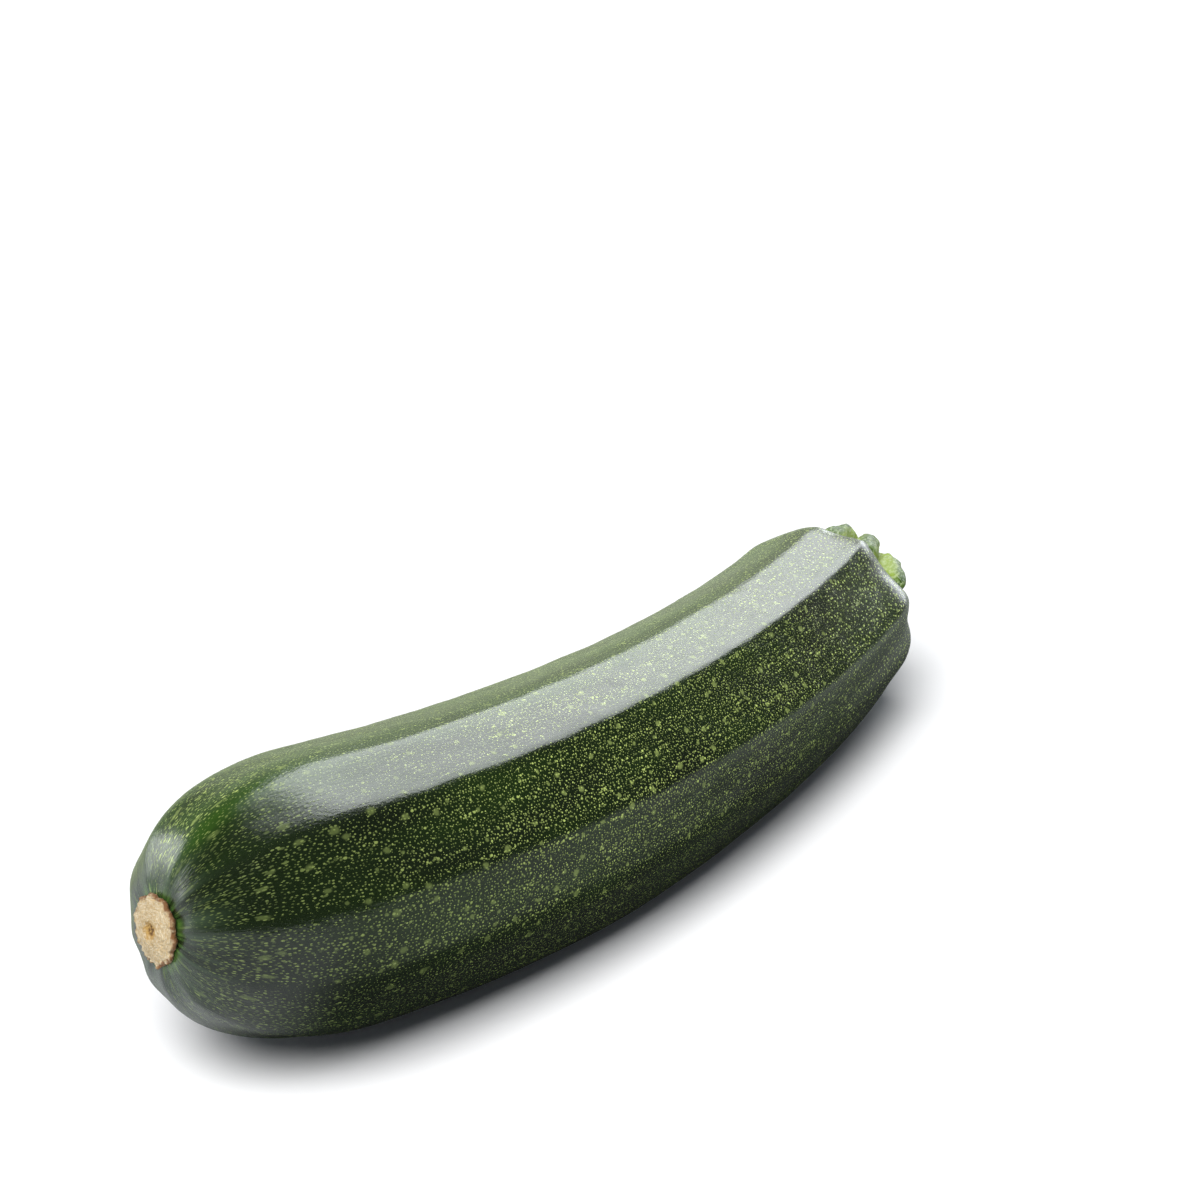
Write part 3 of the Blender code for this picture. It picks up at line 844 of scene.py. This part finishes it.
scar_angles = 2.0 * math.pi * np.arange(SCAR_COLUMNS) / SCAR_COLUMNS
scar_across, scar_up = cross_axes(along[0])
scar_outward = np.cos(scar_angles)[:, None] * scar_across + np.sin(scar_angles)[:, None] * scar_up
ragged = np.ones(SCAR_COLUMNS)
for waves, depth, phase in SCAR_EDGE_WAVES:
    ragged += depth * np.sin(waves * scar_angles + phase)
scar_seat = points[0]
pit_share = SCAR_PIT_RADIUS / SCAR_RADIUS


def scar_ring(part, height):
    """One ring of the disc at a share of its radius and a height over its seat."""
    radius = SCAR_RADIUS * part * ragged
    return scar_seat + radius[:, None] * scar_outward - height * along[0]


scar_rings = [scar_ring(part, CLEARANCE) for part in SCAR_UNDERSIDE_PARTS]
scar_rings.append(scar_ring(1.0, CLEARANCE + 0.5 * SCAR_RIM_HEIGHT))
scar_parts = [*SCAR_UNDERSIDE_PARTS, 1.0]
below_top = len(scar_parts)
for step in range(1, SCAR_RINGS + 1):
    part = 1.0 - (1.0 - SCAR_INNERMOST) * step / SCAR_RINGS
    rim_height = SCAR_RIM_HEIGHT * min(1.0, SCAR_RIM_START + step / SCAR_RIM_STEPS)
    dome = CLEARANCE + rim_height + SCAR_DOME * (1.0 - part**2)
    pit = SCAR_PIT_DEPTH / (1.0 + (part / pit_share) ** 6)
    scar_rings.append(scar_ring(part, dome - pit))
    scar_parts.append(part)
scar_grid = np.stack(scar_rings)
scar_parts = np.array(scar_parts)
scar_places = (scar_grid - scar_seat) / MM
on_top = (np.arange(len(scar_parts)) >= below_top)[:, None]
wander = SCAR_RING_WANDER * unevenness(scar_places, wavelength=3.0, seed=31)
ring_turns = SCAR_RING_COUNT * (scar_parts[:, None] + wander)
scar_relief = SCAR_RING_RELIEF * np.cos(2.0 * math.pi * ring_turns)
scar_relief += SCAR_CRUMBLE * unevenness(scar_places, wavelength=0.9, seed=32)
tatters = SCAR_RIM_TATTERS * unevenness(scar_places, wavelength=1.0, seed=33)
scar_relief += tatters * (scar_parts[:, None] > SCAR_TATTERS_FROM)
scar_grid += (scar_relief * on_top)[:, :, None] * outward_normals(scar_grid[::-1])[::-1]

scar_floor = scar_seat - (CLEARANCE + SCAR_RIM_HEIGHT + SCAR_DOME - SCAR_PIT_DEPTH) * along[0]
scar = closed_body("scar_cork", scar_grid[:, ::-1], scar_seat - CLEARANCE * along[0], scar_floor)
across_scar = scar_grid.shape[:2]
mark(scar, "cork_place", scar_places[:, ::-1], (0.0, 0.0, 0.0), (0.0, 0.0, 0.0))
mark(scar, "outness", np.broadcast_to(scar_parts[:, None], across_scar), 0.5, 0.0)

CORK_TAN = (0.4600, 0.3500, 0.2100)
CORK_LIGHT = (0.6400, 0.5500, 0.3900)
CORK_OCHRE = (0.4200, 0.2500, 0.0650)
CORK_BROWN = (0.2000, 0.0950, 0.0400)
CORK_HOLE_SHADE = (0.1100, 0.0500, 0.0150)
CORK_RING_FINENESS = 80.0
CORK_RIM_SPAN = (0.90, 1.00)
CORK_PIT_SPAN = (0.18, 0.36)
CORK_HOLE_SHADE_SPAN = (0.12, 0.20)
CORK_ROUGHNESS = 0.82

cork = bpy.data.materials.new("scar cork")
cork.use_nodes = True
tree = cork.node_tree
shader = tree.nodes["Principled BSDF"]
place = read_mark(tree, "cork_place", "Vector")
outness = read_mark(tree, "outness")
speckle = mottle(tree, place, patch_size=0.55, detail=3.0, low=0.0, high=1.0)
cork_colour = blend_colour(tree, speckle, CORK_TAN, CORK_LIGHT)
rings_noise = mottle(tree, place, patch_size=1.2, detail=2.0, low=-0.06, high=0.06)
ring_phase = multiply(tree, work_out(tree, "ADD", outness, rings_noise), CORK_RING_FINENESS)
ring_share = work_out(tree, "MULTIPLY_ADD", work_out(tree, "SINE", ring_phase), 0.22, 0.20)
cork_colour = blend_colour(tree, ring_share, cork_colour, CORK_OCHRE)
edge_noise = mottle(tree, place, patch_size=0.8, detail=2.0, low=-0.05, high=0.05)
edge = ease(tree, work_out(tree, "ADD", outness, edge_noise), *CORK_RIM_SPAN)
cork_colour = blend_colour(tree, edge, cork_colour, CORK_BROWN)
pit_noise = mottle(tree, place, patch_size=0.7, detail=2.0, low=-0.09, high=0.09)
pit_distance = work_out(tree, "ADD", outness, pit_noise)
in_pit = ease(tree, pit_distance, *CORK_PIT_SPAN, low=0.9, high=0.0)
cork_colour = blend_colour(tree, in_pit, cork_colour, CORK_OCHRE)
# Painted shade: dark spots in the pit stand for the hollows of the style's vessels, which have no depth
painted_hole_shade = mottle(tree, place, patch_size=0.55, detail=0.0, low=-1.2, high=2.0)
painted_hole_shade = work_out(tree, "MINIMUM", highest(tree, painted_hole_shade, 0.0), 1.0)
hole_shade_share = multiply(tree, painted_hole_shade, ease(tree, outness, *CORK_HOLE_SHADE_SPAN, low=0.9, high=0.0))
cork_colour = blend_colour(tree, hole_shade_share, cork_colour, CORK_HOLE_SHADE)
tree.links.new(cork_colour, shader.inputs["Base Color"])
crumbs = mottle(tree, place, patch_size=0.3, detail=3.0, low=-0.5, high=0.5)
roughness = work_out(tree, "MULTIPLY_ADD", crumbs, 0.1, CORK_ROUGHNESS)
tree.links.new(roughness, shader.inputs["Roughness"])
height = multiply(tree, crumbs, 0.09)
bump = add_node(tree, "Bump", {"Height": height, "Distance": MM, "Strength": 1.0})
tree.links.new(bump.outputs[0], shader.inputs["Normal"])

scar.data.materials.append(cork)
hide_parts("blossom_scar")
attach(scar, "root")


# Hairs
# Fine white bristles, about one and a half to three and a half millimetres long, that are left
# round the foot of the stalk and here and there on its side. They grow out of its skin.
HAIR_COUNT = 110
HAIR_JOINTS = 6
HAIR_SIDES = 3
HAIR_ROOT_RADIUS = 0.00004
HAIR_ROOT_DEPTH = 0.0001
HAIR_TAPER = 0.8
HAIR_LENGTHS = (0.0014, 0.0036)
HAIR_LEANS = (-0.5, 0.3)
HAIR_SCATTER = 0.45
HAIR_CURL = 0.6
HAIR_SHARE_AT_FOOT = 0.6
HAIR_FOOT_RINGS = (3, 16)
HAIR_SIDE_RINGS = (16, 50)
HAIR_CROSSWISE = (0.3, 0.5, 0.8)
BRISTLE_GREY = (0.55, 0.58, 0.45)
BRISTLE_WHITE = (0.82, 0.84, 0.76)

draw = np.random.default_rng(41)
hair_points = []
hair_faces = []
for _ in range(HAIR_COUNT):
    column = int(draw.integers(len(stalk_counts)))
    at_foot = draw.random() < HAIR_SHARE_AT_FOOT
    ring_at = int(draw.integers(*(HAIR_FOOT_RINGS if at_foot else HAIR_SIDE_RINGS)))
    root = stalk_grid[ring_at, column]
    outward = stalk_outward[column]
    length = draw.uniform(*HAIR_LENGTHS)
    lean = outward + draw.uniform(*HAIR_LEANS) * along[-1]
    lean += draw.normal(scale=HAIR_SCATTER, size=3)
    lean /= np.linalg.norm(lean)
    curl = draw.normal(scale=HAIR_CURL, size=3)
    first = len(hair_points)
    spot = root - HAIR_ROOT_DEPTH * lean
    for joint in range(HAIR_JOINTS):
        done = joint / (HAIR_JOINTS - 1)
        thin = HAIR_ROOT_RADIUS * (1.0 - HAIR_TAPER * done)
        side_a = np.cross(lean, HAIR_CROSSWISE)
        side_a /= np.linalg.norm(side_a)
        side_b = np.cross(lean, side_a)
        for k in range(HAIR_SIDES):
            turn = 2.0 * math.pi * k / HAIR_SIDES
            hair_points.append(spot + thin * (math.cos(turn) * side_a + math.sin(turn) * side_b))
        lean = lean + curl / HAIR_JOINTS
        lean /= np.linalg.norm(lean)
        spot = spot + length / (HAIR_JOINTS - 1) * lean
    for joint in range(HAIR_JOINTS - 1):
        base = first + joint * HAIR_SIDES
        for k in range(HAIR_SIDES):
            after = (k + 1) % HAIR_SIDES
            hair_faces.append((base + k, base + after, base + HAIR_SIDES + after, base + HAIR_SIDES + k))
    hair_faces.append(tuple(first + k for k in reversed(range(HAIR_SIDES))))
    hair_faces.append(tuple(first + (HAIR_JOINTS - 1) * HAIR_SIDES + k for k in range(HAIR_SIDES)))
hair_mesh = bpy.data.meshes.new("stalk_hairs")
hair_mesh.from_pydata([tuple(point) for point in hair_points], [], hair_faces)
hair_mesh.shade_smooth()
hairs = bpy.data.objects.new("stalk_hairs", hair_mesh)
scene.collection.objects.link(hairs)

bristle = bpy.data.materials.new("white bristle")
bristle.use_nodes = True
tree = bristle.node_tree
shader = tree.nodes["Principled BSDF"]
coordinates = add_node(tree, "TexCoord").outputs["Object"]
shine = mottle(tree, coordinates, patch_size=0.0008, detail=1.0, low=0.0, high=1.0)
tree.links.new(blend_colour(tree, shine, BRISTLE_GREY, BRISTLE_WHITE), shader.inputs["Base Color"])
shader.inputs["Roughness"].default_value = 0.4
hairs.data.materials.append(bristle)
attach(hairs, "root")


# Table and light
# A plain white table in a dim room. One soft lamp overhead lights the matt colours, and five
# broad lamps show only as sheen: the long pale band, where it fades at the nose, the far side,
# the shoulder and the side of the blossom end. In reflections and bounce light the table is
# painted darker: a painted shadow near the fruit and painted shade in front and behind.
FLOOR_SIZE = 12.0
FLOOR_DROP = 0.0001
FLOOR_WHITE = (0.95, 0.95, 0.96)
# The table's colours as reflections and bounce light see it: a painted shadow near the fruit, painted
# shade in front of and behind it, and plain white to its left
FLOOR_PAINTED_SHADOW_NEAR = (0.07, 0.08, 0.07)
FLOOR_PAINTED_SHADE_FRONT = (0.57, 0.63, 0.56)
FLOOR_PAINTED_SHADE_BACK = (0.52, 0.60, 0.40)
FLOOR_IN_SHEEN_LEFT = (0.92, 0.96, 0.98)
FLOOR_BACK_SPAN = (-0.03, 0.06)
FLOOR_NEAR_OVAL = (6.0, 14.0, 0.0)
FLOOR_NEAR_SPAN = (0.60, 1.15)
FLOOR_LEFT_SPAN = (-0.105, -0.078)
floor_mesh = bpy.data.meshes.new("table_top")
half = 0.5 * FLOOR_SIZE
floor_z = cad_low.z - FLOOR_DROP
floor_mesh.from_pydata(
    [(-half, -half, floor_z), (half, -half, floor_z), (half, half, floor_z), (-half, half, floor_z)],
    [], [(0, 1, 2, 3)],
)
floor = bpy.data.objects.new("table_top", floor_mesh)
scene.collection.objects.link(floor)
white = bpy.data.materials.new("white table")
white.use_nodes = True
tree = white.node_tree
shader = tree.nodes["Principled BSDF"]
position = add_node(tree, "NewGeometry").outputs["Position"]
spot = add_node(tree, "SeparateXYZ", {"Vector": position}).outputs
# Painted shade: grey in front of the fruit, yellowish grey behind it
behind = ease(tree, work_out(tree, "MULTIPLY_ADD", spot["X"], -0.5, spot["Y"]), *FLOOR_BACK_SPAN)
in_sheen = blend_colour(tree, behind, FLOOR_PAINTED_SHADE_FRONT, FLOOR_PAINTED_SHADE_BACK)
round_fruit = stretch_places(tree, position, FLOOR_NEAR_OVAL)
far = add_node(tree, "VectorMath", {0: round_fruit}, operation="LENGTH").outputs["Value"]
# Painted shadow: nearly black close round the fruit
in_sheen = blend_colour(tree, ease(tree, far, *FLOOR_NEAR_SPAN), FLOOR_PAINTED_SHADOW_NEAR, in_sheen)
off_left = ease(tree, spot["X"], *FLOOR_LEFT_SPAN)
in_sheen = blend_colour(tree, off_left, FLOOR_IN_SHEEN_LEFT, in_sheen)
seen = add_node(tree, "LightPath").outputs["Is Camera Ray"]
tree.links.new(blend_colour(tree, seen, in_sheen, FLOOR_WHITE), shader.inputs["Base Color"])
shader.inputs["Roughness"].default_value = 0.9
shader.inputs["Specular IOR Level"].default_value = 0.1
floor.data.materials.append(white)


def add_lamp(name, towards, width, strength, colour, shows_as="sheen"):
    """A lamp that lights all the table alike, either its matt colours or its sheen; width is how
    broad it looks, in degrees."""
    lamp_data = bpy.data.lights.new(name, "SUN")
    lamp_data.angle = math.radians(width)
    lamp_data.energy = strength
    lamp_data.color = colour
    lamp = bpy.data.objects.new(name, lamp_data)
    lamp.rotation_euler = Vector(towards).to_track_quat("Z", "Y").to_euler()
    lamp.visible_diffuse = shows_as == "matt"
    lamp.visible_glossy = shows_as == "sheen"
    scene.collection.objects.link(lamp)


add_lamp("top_lamp", (-0.50, -0.20, 0.84), 42, 4.2, (1.0, 1.0, 0.99), shows_as="matt")
add_lamp("sheen_lamp", (0.66, 0.24, 0.70), 50, 3.5, (0.95, 1.00, 1.00))
add_lamp("fading_lamp", (0.35, 0.25, 0.90), 38, 0.7, (0.95, 0.99, 1.02))
add_lamp("back_lamp", (0.70, 0.66, 0.22), 44, 0.16, (0.95, 1.00, 0.82))
add_lamp("shoulder_lamp", (0.93, 0.20, 0.00), 32, 1.5, (0.94, 0.98, 1.04))
add_lamp("blossom_lamp", (-0.30, 0.93, 0.02), 44, 2.2, (0.96, 0.99, 1.01))

ROOM_HORIZON = (0.37, 0.44, 0.29)
ROOM_ZENITH = (0.10, 0.115, 0.08)
ROOM_FILL = (0.12, 0.13, 0.15)
ROOM_RISE_SPAN = (-0.05, 0.30)
BACKDROP = (1.0, 1.0, 1.0)
world = bpy.data.worlds.new("room")
world.use_nodes = True
scene.world = world
tree = world.node_tree
background = tree.nodes["Background"]
direction = add_node(tree, "SeparateXYZ", {"Vector": add_node(tree, "TexCoord").outputs["Generated"]})
height_seen = work_out(tree, "MULTIPLY_ADD", direction.outputs["Y"], -0.5, direction.outputs["Z"])
rise = ease(tree, height_seen, *ROOM_RISE_SPAN)
room = blend_colour(tree, rise, ROOM_HORIZON, ROOM_ZENITH)
ray = add_node(tree, "LightPath").outputs
room = blend_colour(tree, ray["Is Glossy Ray"], ROOM_FILL, room)
tree.links.new(blend_colour(tree, ray["Is Camera Ray"], room, BACKDROP), background.inputs["Color"])

scene.view_settings.view_transform = "Standard"
scene.view_settings.look = "None"
